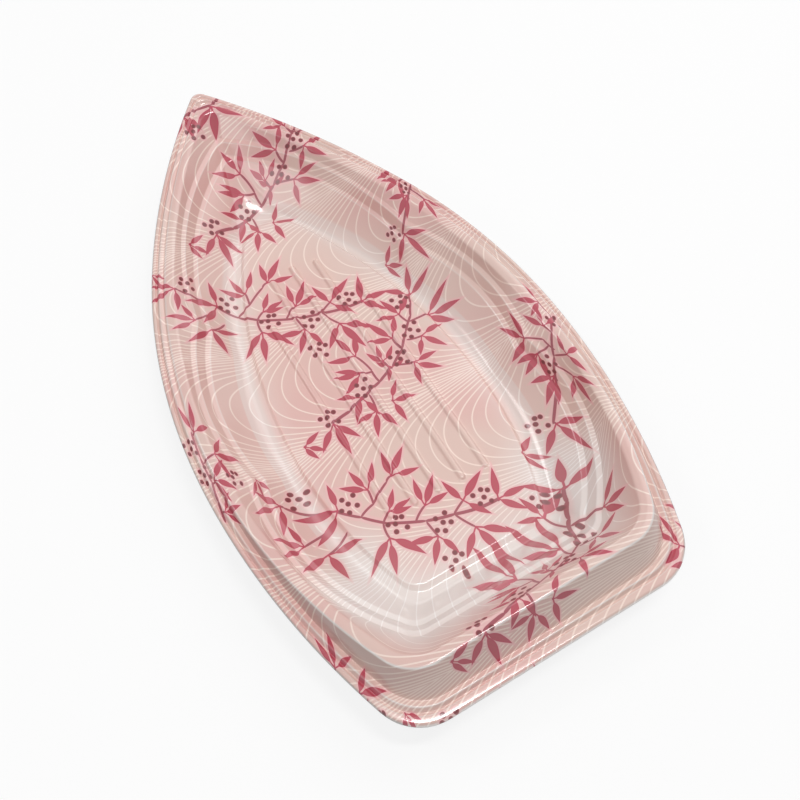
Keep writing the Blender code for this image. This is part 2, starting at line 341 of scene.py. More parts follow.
# Whitening along the crest of each sharp bend: partly bent plastic, partly a painted highlight.
WHITENED_AND_HIGHLIT_BENDS = {
    "lip": (0.7, 0.3, 0.3), "bead": (0.8, 0.4, 0.4), "rim shoulder": (1.3, 0.6, 0.6),
    "upper ledge edge": (1.0, 0.4, 0.4), "lower ledge edge": (1.1, 0.45, 0.4),
    "floor edge": (1.3, 0.1, 0.4),
}
BESIDE_BEND = 0.4       # share of the whitening halfway from a bend's crest to its end


def pale_section(section):
    """The paleness of each point of a section."""
    x, pale = section[0].x, []
    for line, name in enumerate(NAMES):
        base = by_place(x, *PALE.get(name, UNSTRETCHED))
        crest = by_place(x, *WHITENED_AND_HIGHLIT_BENDS[name]) if name in WHITENED_AND_HIGHLIT_BENDS else base
        beside = mix(base, crest, BESIDE_BEND)
        pale += [base] if line in (0, len(NAMES) - 1) else [base, beside, crest, beside, base]
    return pale


pale_sections = [pale_section(section) for section in sections]
print("palest", round(max(max(pale) for pale in pale_sections), 2))

# %% [markdown]
# The floor is a flat patch inside the last line, with five low ribs. Each rib is a set of round-ended
# outlines, one inside the other and each a little higher. The two outer ones lie flat, which keeps the
# shading of the floor from tilting next to a rib. A flat triangulation joins them all to the floor
# edge.

# %% Ribs in the floor
RIB_PITCH, RIBS_A_SIDE = 9.3, 2
RIB_STERN_GAP, RIB_BOW_GAP = 25.5, 24.0         # from the floor edge to the ends of a rib
RIB_END_STEPS, RIB_SIDE_STEPS = 8, 6
RIB_SECTION = [(2.0, 0.0), (1.6, 0.0), (1.34, 0.08), (1.02, 0.48), (0.72, 0.86), (0.35, 0.95)]


def rib_outline(y, start, end, half_width, z):
    """A long round-ended outline."""
    right = math.pi / 2.0
    fore = arc((end, y), half_width, -right, right, RIB_END_STEPS)
    aft = arc((start, y), half_width, right, 3.0 * right, RIB_END_STEPS)
    straight = [Vector((mix(start, end, i / RIB_SIDE_STEPS), y)) for i in range(RIB_SIDE_STEPS + 1)]
    up = [p + Vector((0.0, half_width)) for p in straight[::-1]]
    down = [p - Vector((0.0, half_width)) for p in straight]
    return [Vector((p.x, p.y, z)) for p in up + aft[:-1] + down + fore[:-1]]


def rib_loops():
    """The outlines of all ribs. Each rib ends at the same distance from the bowed floor edge."""
    floor = shape_of(FLOOR_INSET, BANDS[FLOOR_LINE].taper)
    start, loops = floor.stern + RIB_STERN_GAP, []
    for rib in range(-RIBS_A_SIDE, RIBS_A_SIDE + 1):
        y = rib * RIB_PITCH
        off = abs(y) - floor.half + floor.forward
        end = min(floor.bow, MIDSHIP + math.sqrt(floor.forward ** 2 - off ** 2)) - RIB_BOW_GAP
        for half_width, z in RIB_SECTION:
            loops.append(rib_outline(y, start, end, half_width, FLOOR_LIFT - DEPTH + z))
    return loops


ribs = rib_loops()
print(len(ribs) // len(RIB_SECTION), "ribs")

# %% [markdown]
# The skin is the strips between the rounded lines, and the triangulated floor. The triangulation works
# on the plan alone, so the heights of the ribs are put back by using the same points in the same order.

# %% Points and faces of the whole skin
def plate_skin():
    """All points in metres in the frame, their places on the flat sheet, and the faces of the top."""
    columns, rows = len(sections), len(sections[0])
    points = [section[k] for k in range(rows) for section in sections]
    places = [(*flat[k], pale[k]) for k in range(rows) for flat, pale in zip(flat_sections, pale_sections)]
    faces = []
    for k in range(rows - 1):
        outer, inner = k * columns, (k + 1) * columns
        for i in range(columns):
            j = (i + 1) % columns
            faces.append((outer + j, outer + i, inner + i, inner + j))
    edge = points[-columns:]
    plan, edges = [], []
    for loop in [edge] + ribs:
        first = len(plan)
        plan += [Vector((p.x, p.y)) / LENGTH for p in loop]
        edges += [(first + i, first + (i + 1) % len(loop)) for i in range(len(loop))]
    base = len(points) - columns
    points += [p for loop in ribs for p in loop]
    places += [(p.x, p.y, 0.0) for loop in ribs for p in loop]
    for face in delaunay_2d_cdt(plan, edges, [], 1, 1e-7)[2]:
        a, b, c = (plan[i] for i in face)
        clockwise = (b - a).cross(c - a) < 0.0
        faces.append(tuple(base + i for i in (reversed(face) if clockwise else face)))
    return [(p - Vector((LENGTH / 2.0, 0.0, GROUND))) * MM for p in points], places, faces


skin = plate_skin()
print(len(skin[0]), "points,", len(skin[2]), "faces in the skin")

# %% [markdown]
# Both layers are this skin given a thickness straight down, as in the solids, so the film lies on the
# sheet all over. The map for the finish is the plan of the boat, because no part of the top hides
# another from above. The face that shows takes most of the map, and the other a narrow strip.

# %% The two layers
MAP_EDGE = 0.004
SHOWN, HIDDEN = (MAP_EDGE, 0.9), (0.92, 0.076)      # where each face starts on the map, and its share
SHARP_ANGLE = math.radians(50.0)


def layer(name, top, thickness, node):
    """One layer of the plate, in place of its solid."""
    points, places, faces = skin
    form = bmesh.new()
    on_sheet = form.verts.layers.float_vector.new("flat_place")
    corners = [form.verts.new(p - Vector((0.0, 0.0, top * MM))) for p in points]
    for corner, place in zip(corners, places):
        corner[on_sheet] = place
    upper = [form.faces.new([corners[i] for i in face]) for face in faces]
    drawn = bmesh.ops.extrude_face_region(form, geom=upper, use_keep_orig=True)["geom"]
    under = [v for v in drawn if isinstance(v, bmesh.types.BMVert)]
    bmesh.ops.translate(form, vec=(0.0, 0.0, -thickness * MM), verts=under)
    bmesh.ops.recalc_face_normals(form, faces=form.faces)
    plan = form.loops.layers.uv.new("OFBake")
    for face in form.faces:
        start, share = SHOWN if (face.normal.z > 0.0) == (name == "film_with_print") else HIDDEN
        for loop in face.loops:
            along, across = loop.vert.co.x / (LENGTH * MM) + 0.5, loop.vert.co.y / (BEAM * MM) + 0.5
            loop[plan].uv = (MAP_EDGE + (1.0 - 2.0 * MAP_EDGE) * along, start + share * across)
    mesh = bpy.data.meshes.new(name)
    form.to_mesh(mesh)
    form.free()
    mesh.shade_smooth()
    mesh.set_sharp_from_angle(angle=SHARP_ANGLE)
    piece = bpy.data.objects.new(name, mesh)
    bpy.context.scene.collection.objects.link(piece)
    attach(piece, "root")
    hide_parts(node)
    return piece


film = layer("film_with_print", 0.0, FILM, "printed_film")
sheet = layer("plain_sheet", FILM + BOND, SHEET, "base_sheet")
print(film.name, sheet.name, len(film.data.polygons), "faces each")

# %% [markdown]
# ## Writing finishes as sums
# A finish is a tree of nodes. Wiring each node by hand hides the idea, so one small class stands for a
# value or a vector in the tree, and adding or multiplying two of them adds the node that does it.

# %% A value or vector in a finish
class Wire:
    """One output in a finish. Sums with it become Math nodes, or Vector Math nodes for vectors."""

    def __init__(self, tree, socket):
        self.tree, self.socket = tree, socket
        self.wide = socket.type in ("VECTOR", "RGBA")

    def maths(self, operation, *others):
        wide = self.wide or any(isinstance(o, tuple) or getattr(o, "wide", False) for o in others)
        kind = "ShaderNodeVectorMath" if wide else "ShaderNodeMath"
        return add_node(self.tree, kind, {"operation": operation}, 0, dict(enumerate((self,) + others)))

    def __add__(self, other):
        return self.maths("ADD", other)

    __radd__ = __add__

    def __sub__(self, other):
        return self.maths("SUBTRACT", other)

    def __rsub__(self, other):
        return self.maths("MULTIPLY_ADD", -1.0, other)

    def __mul__(self, other):
        return self.maths("MULTIPLY", other)

    __rmul__ = __mul__

    def __truediv__(self, other):
        return self.maths("DIVIDE", other)

    def __pow__(self, other):
        return self.maths("POWER", other)

    def __abs__(self):
        return self.maths("ABSOLUTE")

    def times_plus(self, factor, plus):
        """A product and a sum in one node."""
        return self.maths("MULTIPLY_ADD", factor, plus)

    def least(self, other):
        return self.maths("MINIMUM", other)

    def most(self, other):
        return self.maths("MAXIMUM", other)

    def between(self, low, high):
        """0 at low, 1 at high, with an even slope and level outside."""
        places = {"Value": self, "From Min": low, "From Max": high}
        return add_node(self.tree, "ShaderNodeMapRange", {"clamp": True}, 0, places)

    def split(self):
        """The three channels of a vector."""
        node = add_node(self.tree, "ShaderNodeSeparateXYZ", {}, 0, {0: self}).socket.node
        return [Wire(self.tree, out) for out in node.outputs]


def add_node(tree, kind, settings, out, places):
    """Any node: its type, its settings, which output to use, and the values or wires of its inputs."""
    node = tree.nodes.new(kind)
    for key, value in settings.items():
        setattr(node, key, value)
    for key, value in places.items():
        socket = node.inputs[key]
        if isinstance(value, Wire):
            tree.links.new(value.socket, socket)
        elif socket.type == "VECTOR" and isinstance(value, (int, float)):
            socket.default_value = (value, value, value)
        elif socket.type == "RGBA" and len(value) == 3:
            socket.default_value = (*value, 1.0)
        else:
            socket.default_value = value
    return Wire(tree, node.outputs[out])


def blend(factor, first, second):
    """A colour between two others."""
    places = {0: factor, 6: first, 7: second}
    return add_node(factor.tree, "ShaderNodeMix", {"data_type": "RGBA"}, 2, places)


def noise(place, scale, detail):
    """An uneven value that changes softly over a place."""
    places = {"Vector": place, "Scale": scale, "Detail": detail}
    return add_node(place.tree, "ShaderNodeTexNoise", {}, 0, places)


def start_finish(name):
    """A new finish, its tree and its shader."""
    material = bpy.data.materials.new(name)
    material.use_nodes = True
    return material, material.node_tree, material.node_tree.nodes["Principled BSDF"]


print("helpers ready")

# %% [markdown]
# ## The print
# The print repeats along the boat, as on any film that comes off a roll. Each spray of leaves is drawn
# once, round its own middle, and the place on the plate is folded back into that one repeat. A picture
# would blur close up, and these sums stay sharp at any size.

# %% Place on the film, folded into one repeat
REPEAT = 93.0       # mm along the boat


def folded(x, y, middle, squeeze, copies):
    """x and y from the nearest copy of a middle, each spread over three channels of a vector."""
    from_middle = x - middle[0]
    copy = (from_middle / REPEAT).maths("ROUND").most(copies[0]).least(copies[1])
    x_in, y_in = copy.times_plus(-REPEAT, from_middle), y.times_plus(1.0 / squeeze, -middle[1])
    three = lambda w: add_node(w.tree, "ShaderNodeCombineXYZ", {}, 0, {0: w, 1: w, 2: w})
    return three(x_in), three(y_in)


print("repeat", REPEAT, "mm")

# %% [markdown]
# Three leaves hang together on most twigs. A vector has three channels, so one set of vector sums can
# draw three leaves at once, one in each channel. A leaf has a thin stalk and a rounded base, is widest
# nearer its base, and sweeps to a long point. A twig is a thin stroke with blunt ends that bows a
# little. The powers that shape a leaf are not whole numbers: the renderer gives 0 for such a power of a
# negative value, which keeps each end of a leaf to its own side.

# %% Three strokes, or three berries, at a time
LEAF_WIDEST = 0.40                          # share of the leaf from base to its widest place
STALK_SHARE, STALK_OVERLAP = 0.22, 0.3      # half width of a stalk in half leaves, and mm into the twig
BASE_POWER, STALK_POWER, TIP_POWER, TWIG_POWER = 2.3, 13.5, 1.45, 8.5


def along_and_off(x3, y3, strokes):
    """Place along each of three strokes, 0 at its base and 1 at its end, and off it in half widths.

    A stroke is (base x, base y, heading in degrees, length, half width, bend, stalk).
    """
    columns = []
    for base_x, base_y, heading, length, half, bend, stalk in strokes:
        c, s = math.cos(math.radians(heading)), math.sin(math.radians(heading))
        columns.append((c / length, s / length, -(base_x * c + base_y * s) / length,
                        -s / half, c / half, (base_x * s - base_y * c) / half))
    along_x, along_y, along_0, off_x, off_y, off_0 = (tuple(v) for v in zip(*columns))
    return (x3.times_plus(along_x, y3.times_plus(along_y, along_0)),
            x3.times_plus(off_x, y3.times_plus(off_y, off_0)))


def three_leaves(x3, y3, leaves):
    """How far outside each of three leaves a place is: 1 on its outline, less inside."""
    along, off = along_and_off(x3, y3, leaves)
    off = abs((along * along).times_plus(tuple(-leaf[5] / leaf[4] for leaf in leaves), off))
    to_base = along.times_plus(-1.0 / LEAF_WIDEST, 1.0)
    to_tip = along.times_plus(1.0 / (1.0 - LEAF_WIDEST), 1.0 - 1.0 / (1.0 - LEAF_WIDEST))
    stalk_end = tuple(1.0 / (1.0 + (leaf[6] + STALK_OVERLAP) / (LEAF_WIDEST * leaf[3])) for leaf in leaves)
    base = (to_base ** BASE_POWER).least(1.0 - STALK_SHARE).most((to_base * stalk_end) ** STALK_POWER)
    return base.most(to_tip ** TIP_POWER) + off


def three_twigs(x3, y3, twigs):
    """The same for three twigs."""
    along, off = along_and_off(x3, y3, twigs)
    off = abs((along * along - along).times_plus(tuple(4.0 * t[5] / t[4] for t in twigs), off))
    return abs(along * 2.0 - 1.0) ** TWIG_POWER + off


def three_berries(x3, y3, centres, radius):
    """Squared distance from three berries, 1 on their outlines."""
    centre_x, centre_y = (tuple(-v / radius for v in values) for values in zip(*centres))
    across = x3.times_plus(1.0 / radius, centre_x)
    up = y3.times_plus(1.0 / radius, centre_y)
    return up.times_plus(up, across * across)


def nearer(so_far, wire):
    """The lesser of two, by channel. Joined at once, or a long list of vectors overfills the renderer."""
    return wire if so_far is None else so_far.least(wire)


def least_channel(wire):
    """The least of the three channels."""
    a, b, c = wire.split()
    return a.least(b).least(c)


print("strokes ready")

# %% [markdown]
# Each spray has a stem, twigs that leave it on both sides, fans of leaves and loose bunches of berries
# in the forks. A fan is given by where its twig starts, where its leaves spread, their heading, the
# angle between them and their length. Two sprays lie on the floor. One runs along each side, where the
# wall is steep and the print looks squeezed from above. A short one fills the bow tip, which the other
# copies don't reach.

# %% The sprays
FLOOR_SPRAY = {
    "squeeze": 1.0, "copies": (-1.0, 1.0),
    "stem": [(54, -16), (54.6, -8), (56.8, 0), (59.6, 9.5), (65.5, 21), (71.5, 27.2), (77.5, 33.5),
             (86, 46)],
    "twigs": [((71.8, 27), (73.6, 21.5)), ((73.6, 21.5), (78.4, 13.5))],
    "fans": [
        ((54, -15), (54, -15.5), 277, 60, 10.8), ((57, 0), (59.5, -5), 296, 82, 9.8),
        ((56.6, 0), (49.5, -3.6), 188, 50, 11.8), ((61, 12.5), (64.4, 7), 312, 50, 9.8),
        ((59, 9.5), (53, 8.8), 142, 72, 9.2), ((66, 22), (60.5, 22.8), 164, 50, 11.0),
        ((66.5, 21.5), (68.3, 18.6), 283, 34, 7.4), ((73.6, 21.5), (79, 20.6), 8, 48, 9.0),
        ((78.4, 13.5), (79.4, 11.2), 308, 48, 9.2), ((77, 32.5), (77.6, 32.9), 68, 70, 10.2),
        ((74, 36), (71, 45), 62, 56, 8.6), ((69.5, 34), (66.4, 40), 192, 84, 9.4),
        ((86, 46), (86.4, 46.8), 105, 62, 8.4),
    ],
    "bunches": [(63.4, 18.2), (56.3, 4.8), (57.4, -11.3), (77.7, 28.4), (43.2, 8.4), (87.6, 41.0)],
}
SECOND_SPRAY = {
    "squeeze": 1.0, "copies": (-1.0, 1.0),
    "stem": [(107, 19), (108.3, 11), (111, 3), (113.3, -4), (116.3, -11), (121, -18), (127, -23),
             (132, -28), (137, -31), (141.5, -33)],
    "twigs": [((113.3, -4), (118.6, -3.7))],
    "fans": [
        ((104, 31.4), (104, 31.5), 243, 48, 6.8), ((107, 18.5), (106.4, 18.8), 176, 42, 10.4),
        ((110.4, 4), (111, 5), 135, 66, 8.2), ((110.6, 2), (103.6, 3.0), 150, 62, 8.8),
        ((104.3, -4), (104.3, -4), 257, 80, 7.8), ((118.6, -3.7), (126.8, -1.6), 20, 54, 8.8),
        ((118.4, -3.7), (119.6, 0.4), 82, 34, 8.8), ((116, -9.5), (119.4, -8.9), 345, 42, 6.6),
        ((121, -18), (126.8, -17.1), 22, 54, 9.4), ((116.5, -12), (113.7, -18.4), 226, 54, 8.6),
        ((123.6, -21.5), (122.4, -27), 213, 76, 8.8), ((130, -26), (134.7, -24.6), 20, 74, 8.8),
        ((130, -26.5), (129.8, -34.2), 250, 46, 9.0), ((141, -33), (141, -33), 345, 66, 9.2),
        ((116.4, -10), (116.4, -9.9), 30, 118, 4.6),
    ],
    "bunches": [(109.4, 18.8), (113.9, 2.4), (118.3, -14.8), (126.6, -25), (139.3, -27.9)],
}
STARBOARD_SPRAY = {
    "squeeze": 0.59, "copies": (-1.0, 1.0),
    "stem": [(68, -71), (77, -84), (84.5, -94), (91, -102), (97, -109)],
    "twigs": [((86, -97), (91.5, -96.4))],
    "fans": [
        ((64, -54), (64, -54), 250, 50, 8.6), ((68, -71.5), (67.4, -71.8), 186, 62, 12.0),
        ((78, -86), (80, -86.4), 108, 34, 10.8), ((82, -91), (74.6, -94), 166, 56, 10.4),
        ((84.5, -95), (81, -100), 270, 84, 8.4), ((91.5, -96.4), (96.4, -89.6), 42, 58, 11.0),
        ((88.6, -96.4), (89.3, -89), 108, 38, 11.0), ((91, -102), (95, -101), 330, 58, 9.2),
        ((97, -109), (104, -108), 55, 56, 9.0),
    ],
    "bunches": [(71.2, -67), (83.6, -89.4), (95, -108)],
}
PORT_SPRAY = {
    "squeeze": 0.55, "copies": (-1.0, 1.0),
    "stem": [(86, 124), (93, 121.5), (100, 119), (110, 118), (120, 115.5)],
    "twigs": [],
    "fans": [
        ((100, 119), (100.4, 117), 246, 52, 11.0), ((107.6, 118), (108.7, 109.6), 250, 54, 10.8),
        ((119, 115.6), (119.2, 114), 325, 48, 10.4), ((89, 123), (88.6, 121.6), 262, 50, 9.4),
        ((96.6, 93.4), (96.6, 93.4), 190, 62, 6.8),
    ],
    "bunches": [(98.4, 105.8), (103.6, 120.6), (115, 120.4)],
}
BOW_SPRAY = {
    "squeeze": 1.0, "copies": (0.0, 0.0),
    "stem": [(251, -8), (247.4, -2), (248.5, 5), (248, 8.5)],
    "twigs": [],
    "fans": [((247, -2), (246.6, -2), 178, 48, 12.0), ((248, 8), (247.6, 8.2), 172, 38, 8.6)],
    "bunches": [(239.4, 7.4)],
}
SPRAYS = (FLOOR_SPRAY, SECOND_SPRAY, STARBOARD_SPRAY, PORT_SPRAY, BOW_SPRAY)
print(sum(len(spray["fans"]) * 3 for spray in SPRAYS), "leaves in a repeat")

# %% [markdown]
# Nothing that grows is quite regular. A random number would do for that, but it has to be the same in
# each run, so the steps of the golden section are used: they never fall into a beat. They turn,
# lengthen and bend each leaf a little, and push each berry off its place.

# %% Leaves, twigs and berries, no two alike
GOLDEN = 0.6180339887
MIDDLE_LEAF, SIDE_LEAF = 1.02, 0.93             # lengths in a fan, as shares of the fan's own
LEAF_HALF, LEAF_WIDENING = 0.47, 0.082          # mm of half width, and more for each mm of length
STALK, LEAF_BEND = 1.5, 0.8
TURN_SPREAD, LENGTH_SPREAD, STALK_SPREAD = 9.0, 0.15, 0.8       # degrees, a share, and mm
TWIG_OVERLAP, TWIG_LEAST = 0.35, 0.2
BUNCH_RADIUS, BERRY_RADIUS, BERRIES_ROUND = 3.0, 0.95, 5
BUNCH_TURN, BERRY_TURN, BERRY_SPREAD = 31.0, 16.0, 0.6          # degrees, degrees, and mm


def unlike(number, spread):
    """A number between -spread and spread that changes from one count to the next."""
    return spread * (2.0 * ((number * GOLDEN) % 1.0) - 1.0)


def fan_leaves(number, place, heading, spread, length):
    """Three leaves from one twig end."""
    leaves = []
    for side in (-1, 0, 1):
        count = 3 * number + side
        turn = math.radians(heading + side * spread + unlike(count, TURN_SPREAD))
        long = length * (MIDDLE_LEAF if side == 0 else SIDE_LEAF)
        long *= 1.0 + unlike(count + 5, LENGTH_SPREAD)
        stalk = STALK + unlike(count + 1, STALK_SPREAD)
        base = (place[0] + stalk * math.cos(turn), place[1] + stalk * math.sin(turn))
        bend = side * -LEAF_BEND + unlike(count + 2, LEAF_BEND)
        leaves.append((*base, math.degrees(turn), long, LEAF_HALF + LEAF_WIDENING * long, bend, stalk))
    return leaves


def twig(start, end, half, bend):
    """A thin stroke from one place to another, a little over-long so that it joins."""
    run = Vector(end) - Vector(start)
    if run.length < TWIG_LEAST:
        run = Vector((TWIG_LEAST, 0.0))
    base = Vector(start) - run.normalized() * TWIG_OVERLAP
    heading = math.degrees(math.atan2(run.y, run.x))
    return (base.x, base.y, heading, run.length + 2.0 * TWIG_OVERLAP, half, bend, 0.0)


def bunch(number, place):
    """Six berries: one in the middle and five round it, none quite in its place."""
    spots = [(place[0] + unlike(number + 3, BERRY_SPREAD), place[1] + unlike(number + 8, BERRY_SPREAD))]
    for i in range(BERRIES_ROUND):
        heading = 360.0 / BERRIES_ROUND * i + BUNCH_TURN * number + unlike(number + 2 * i, BERRY_TURN)
        turn, away = math.radians(heading), BUNCH_RADIUS + unlike(number * 7 + i, BERRY_SPREAD)
        spots.append((place[0] + away * math.cos(turn), place[1] + away * math.sin(turn)))
    return spots


print(len(bunch(0, (0.0, 0.0))), "berries in a bunch")

# %% [markdown]
# Each spray is drawn in its own folded place, and only the nearest leaf, twig and berry of them all are
# kept. Strokes go through the sums three at a time, so the list of twigs is filled up to a multiple of
# three with its last one.

# %% Draw the sprays into a finish
STEM_HALF, STEM_THINNING, TWIG_HALF, FAN_TWIG_HALF = 0.62, 0.025, 0.42, 0.4
STEM_BEND, TWIG_BEND, FAN_TWIG_BEND = 0.2, 0.3, 0.5


def moved(strokes, middle):
    """Strokes or spots, as seen from a middle."""
    return [(s[0] - middle[0], s[1] - middle[1], *s[2:]) for s in strokes]


def spray_strokes(spray):
    """All twigs of a spray: its stem, which thins as it runs, its side twigs and one to each fan."""
    stem = spray["stem"]
    twigs = [twig(a, b, STEM_HALF - STEM_THINNING * i, STEM_BEND)
             for i, (a, b) in enumerate(zip(stem, stem[1:]))]
    twigs += [twig(a, b, TWIG_HALF, TWIG_BEND) for a, b in spray["twigs"]]
    twigs += [twig(fan[0], fan[1], FAN_TWIG_HALF, unlike(n, FAN_TWIG_BEND))
              for n, fan in enumerate(spray["fans"])]
    return twigs + twigs[-1:] * (-len(twigs) % 3)


def print_shapes(x, y):
    """How far a place is outside the nearest leaf, twig and berry of the print."""
    leaf = stalk = berry = None
    for spray in SPRAYS:
        places = [fan[1] for fan in spray["fans"]]
        middle = [(min(v) + max(v)) / 2.0 for v in zip(*places)]
        x3, y3 = folded(x, y, middle, spray["squeeze"], spray["copies"])
        for n, fan in enumerate(spray["fans"]):
            leaf = nearer(leaf, three_leaves(x3, y3, moved(fan_leaves(n, *fan[1:]), middle)))
        strokes = spray_strokes(spray)
        for i in range(0, len(strokes), 3):
            stalk = nearer(stalk, three_twigs(x3, y3, moved(strokes[i:i + 3], middle)))
        for n, place in enumerate(spray["bunches"]):
            six = moved(bunch(n, place), middle)
            for i in (0, 3):
                berry = nearer(berry, three_berries(x3, y3, six[i:i + 3], BERRY_RADIUS))
    return least_channel(leaf), least_channel(stalk), least_channel(berry)


print("sprays ready")

# %% [markdown]
# Behind the sprays run fine pale lines like flowing water: stacked arches that crowd together where two
# arches meet. They are the level lines of one smooth height, so they never cross. Where the height is
# steep the lines are kept as wide as elsewhere, by dividing by the slope.

# %% Flowing lines
ARCH, ARCH_CREST, LINE_GAP = REPEAT / 2.0, 78.0, 5.65
FALL, STEEPENING = 0.04, 8e-5       # of an arch, by the square and fourth power of the way off its crest
CROWD, CROWD_START, CROWD_LENGTH = 0.2, -35.0, 75.0     # how arches sharpen and flatten across the boat
LINE_EDGE, LINE_CORE, LINE_FINER = 0.34, 0.14, 0.7


def flowing_lines(x, y, thin_and_sheen):
    """1 on a line, 0 between them. A stretched line is drawn finer, as it spreads in forming."""
    from_crest = x - ARCH_CREST
    off_crest = abs((from_crest / ARCH).maths("ROUND").times_plus(-ARCH, from_crest))
    square = off_crest * off_crest
    fall = square * square.times_plus(STEEPENING, FALL)
    crowd = ((y - CROWD_START) * (2.0 * math.pi / CROWD_LENGTH)).maths("COSINE").times_plus(CROWD, 1.0)
    height = fall.times_plus(crowd, y) / LINE_GAP
    slope = off_crest * square.times_plus(4.0 * STEEPENING, 2.0 * FALL) * crowd
    steep = slope.times_plus(slope, 1.0) ** 0.5
    off_line = abs(height - height.maths("ROUND")) * LINE_GAP / steep
    return (off_line * (thin_and_sheen * LINE_FINER + 1.0)).between(LINE_EDGE, LINE_CORE)


print("lines ready")

# %% [markdown]
# ## The printed film
# The ground of the print drifts between pink and beige. The lines are cream. Every leaf, twig and berry
# has a pale halo that keeps the lines off it, as printers do to keep colours from running together. The
# film is glossy, and a fine grain makes its gloss a little uneven.

# %% Finish of the film
PINK, BEIGE = (0.760, 0.475, 0.435), (0.760, 0.555, 0.490)
CREAM, HALO = (0.94, 0.77, 0.69), (0.84, 0.50, 0.49)
LEAF, LEAF_EDGE = (0.495, 0.078, 0.110), (0.515, 0.056, 0.105)
TWIG, BERRY, BERRY_RIM = (0.38, 0.085, 0.11), (0.20, 0.035, 0.042), (0.36, 0.06, 0.08)
# Pale ground for thin ink with painted sheen, and white for bent plastic with a painted highlight.
THINNED_AND_SHEEN, WHITENED_AND_HIGHLIGHT = (0.80, 0.735, 0.70), (0.93, 0.89, 0.87)     # where the sheet is drawn thin, or bent
LEAF_HALO, TWIG_HALO, BERRY_HALO = (1.2, 1.75), (1.6, 3.6), (1.5, 4.0)
LEAF_OUTLINE, TWIG_OUTLINE = (1.05, 0.95), (1.15, 0.85)         # soft by about the spread of the ink
LEAF_RIM, LEAF_MOTTLE, BERRY_CORE = (0.45, 0.85), 0.25, (0.3, 0.9)
DRIFT_SCALE, DRIFT_EDGE, GRAIN_SCALE = 0.02, (0.38, 0.62), 1.3
# How far the ground, the halos and the inks pale with thin ink and the painted sheen.
GROUND_PALING, HALO_PALING, INK_PALING = 0.95, 0.6, 0.1          # how far each pales where drawn thin
LINE_INK, FULLY_WHITE = 0.9, 0.85
FILM_ROUGHNESS, GRAIN_ROUGHNESS, POLYSTYRENE_IOR = 0.11, 0.06, 1.59

printed, tree, shader = start_finish("printed film")
flat_place = add_node(tree, "ShaderNodeAttribute", {"attribute_name": "flat_place"}, "Vector", {})
x, y, pale = flat_place.split()
level_place = add_node(tree, "ShaderNodeCombineXYZ", {}, 0, {0: x, 1: y})
drift = noise(level_place, DRIFT_SCALE, 1.0)
grain = noise(level_place, GRAIN_SCALE, 2.0)

# Paleness up to 1 is thin ink together with painted sheen. It pales the ground, the lines, the halos and
# the inks.
thin_and_sheen = pale.least(1.0)
ground = blend(thin_and_sheen * GROUND_PALING, blend(drift.between(*DRIFT_EDGE), PINK, BEIGE), THINNED_AND_SHEEN)
ground = blend(flowing_lines(x, y, thin_and_sheen) * LINE_INK, ground, blend(thin_and_sheen, CREAM, WHITENED_AND_HIGHLIGHT))
# Past a paleness of 1 the ground turns white: bent plastic's whitening with a painted highlight, along the
# bends and the flange edge.
ground = blend(pale.between(1.0, 2.0) * FULLY_WHITE, ground, WHITENED_AND_HIGHLIGHT)
leaf, stalk, berry = print_shapes(x, y)
clear = leaf.between(*LEAF_HALO).least(stalk.between(*TWIG_HALO)).least(berry.between(*BERRY_HALO))
# The halos pale with thin ink and the painted sheen too.
colour = blend(clear, blend(thin_and_sheen * HALO_PALING, HALO, THINNED_AND_SHEEN), ground)
colour = blend(stalk.between(*TWIG_OUTLINE), colour, TWIG)
leaf_colour = blend((leaf - grain * LEAF_MOTTLE).between(*LEAF_RIM), LEAF, LEAF_EDGE)
colour = blend(leaf.between(*LEAF_OUTLINE), colour, leaf_colour)
berry_colour = blend(berry.between(*BERRY_CORE), BERRY, BERRY_RIM)
colour = blend(berry.between(*TWIG_OUTLINE), colour, berry_colour)
# The inks pale a little with thin ink and under the painted sheen.
colour = blend(thin_and_sheen * INK_PALING, colour, THINNED_AND_SHEEN)
tree.links.new(colour.socket, shader.inputs["Base Color"])
tree.links.new((grain * GRAIN_ROUGHNESS + FILM_ROUGHNESS).socket, shader.inputs["Roughness"])
shader.inputs["IOR"].default_value = POLYSTYRENE_IOR
film.data.materials.append(printed)
print(len(tree.nodes), "nodes in the print")

# %% [markdown]
# ## The plain sheet
# The underside is the bare sheet: off-white, satin, with the faint clouding that drawn plastic has. One
# noise drives both its colour and its gloss, because both come from the same uneven skin.

# %% Finish of the sheet
SHEET_DULL, SHEET_PALE = (0.80, 0.745, 0.71), (0.86, 0.82, 0.79)
CLOUD_SCALE, SHEET_ROUGHNESS, CLOUD_ROUGHNESS = 45.0, 0.34, 0.12
bare, tree, shader = start_finish("bare sheet")
place = add_node(tree, "ShaderNodeTexCoord", {}, "Object", {})
cloud = noise(place, CLOUD_SCALE, 3.0)
tree.links.new(blend(cloud, SHEET_DULL, SHEET_PALE).socket, shader.inputs["Base Color"])
tree.links.new((cloud * CLOUD_ROUGHNESS + SHEET_ROUGHNESS).socket, shader.inputs["Roughness"])
sheet.data.materials.append(bare)
print("sheet finished")

# %% [markdown]
# ## The studio
# A white floor, a soft sky that is bright overhead and dark near the horizon, and one bright tube lamp
# over the stern, across the boat. The tube is the main light, because its mirror image runs as a thin
# white line along every edge of the stern. Four softer lamps pick out the steps of the walls.

# %% Rays that see the background
def seen(tree):
    """1 for rays from the camera, and for those that reach it by a reflection or through a clear piece."""
    camera = add_node(tree, "ShaderNodeLightPath", {}, "Is Camera Ray", {})
    path = camera.socket.node.outputs
    return camera.most(Wire(tree, path["Is Glossy Ray"])).most(Wire(tree, path["Is Transmission Ray"]))


print("background rays ready")

